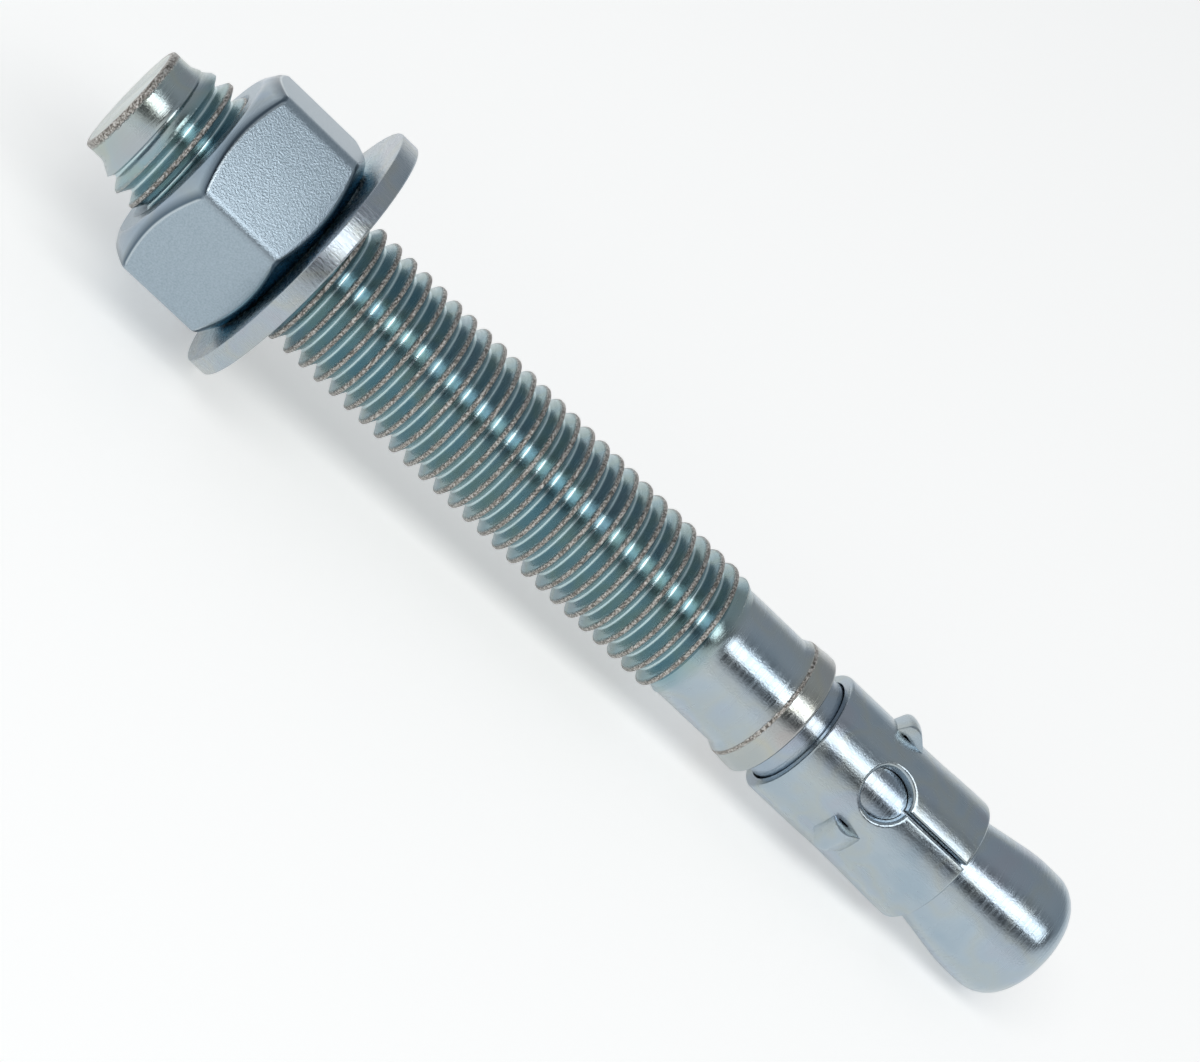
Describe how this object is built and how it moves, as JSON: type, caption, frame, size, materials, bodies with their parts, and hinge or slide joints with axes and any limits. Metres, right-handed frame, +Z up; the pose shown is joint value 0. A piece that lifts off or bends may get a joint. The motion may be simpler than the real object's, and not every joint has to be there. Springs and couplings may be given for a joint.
{
  "type": "wedge anchor",
  "caption": "Zinc-plated wedge anchor: threaded stud with collar and expansion cone, slotted expansion clip, flat washer and hex nut, lying on its side.",
  "frame": {"origin": "middle of the bounding box on the floor, with the anchor lying on the washer's rim and the bulb's land", "axes": "+X points from the hammer end towards the expansion tip, which lies 4 degrees lower, and +Z is up"},
  "size_m": [0.159, 0.0374, 0.0375],
  "materials": {
    "stud_zinc": "blue-white zinc plate over rolled steel",
    "clip_zinc": "blue-white zinc plate over stamped sheet",
    "washer_zinc": "blue-white zinc plate over stamped sheet",
    "nut_zinc": "blue-white zinc plate over forged steel"
  },
  "bodies": {
    "stud": {"anchor_stud": "stud_zinc"},
    "clip": {"expansion_clip": "clip_zinc"},
    "washer": {"flat_washer": "washer_zinc"},
    "nut": {"hex_nut": "nut_zinc"}
  },
  "joints": [
    {"name": "clip_slide", "type": "slide", "parent": "stud", "child": "clip", "axis": [-0.9977, 0, 0.0672], "range_m": [0, 0.0025]},
    {"name": "washer_slide", "type": "slide", "parent": "stud", "child": "washer", "axis": [0.9977, 0, -0.0672], "range_m": [-0.02286, 0.06604]},
    {"name": "nut_turn", "type": "hinge", "parent": "washer", "child": "nut", "pos_m": [-0.06095, 0, 0.01857], "axis": [0.9977, 0, -0.0672], "range_deg": [-3242, 9362]}
  ],
  "couplings": [
    {"joint": "nut_turn", "follows": "washer_slide", "rad_per_m": 2473.7}
  ]
}
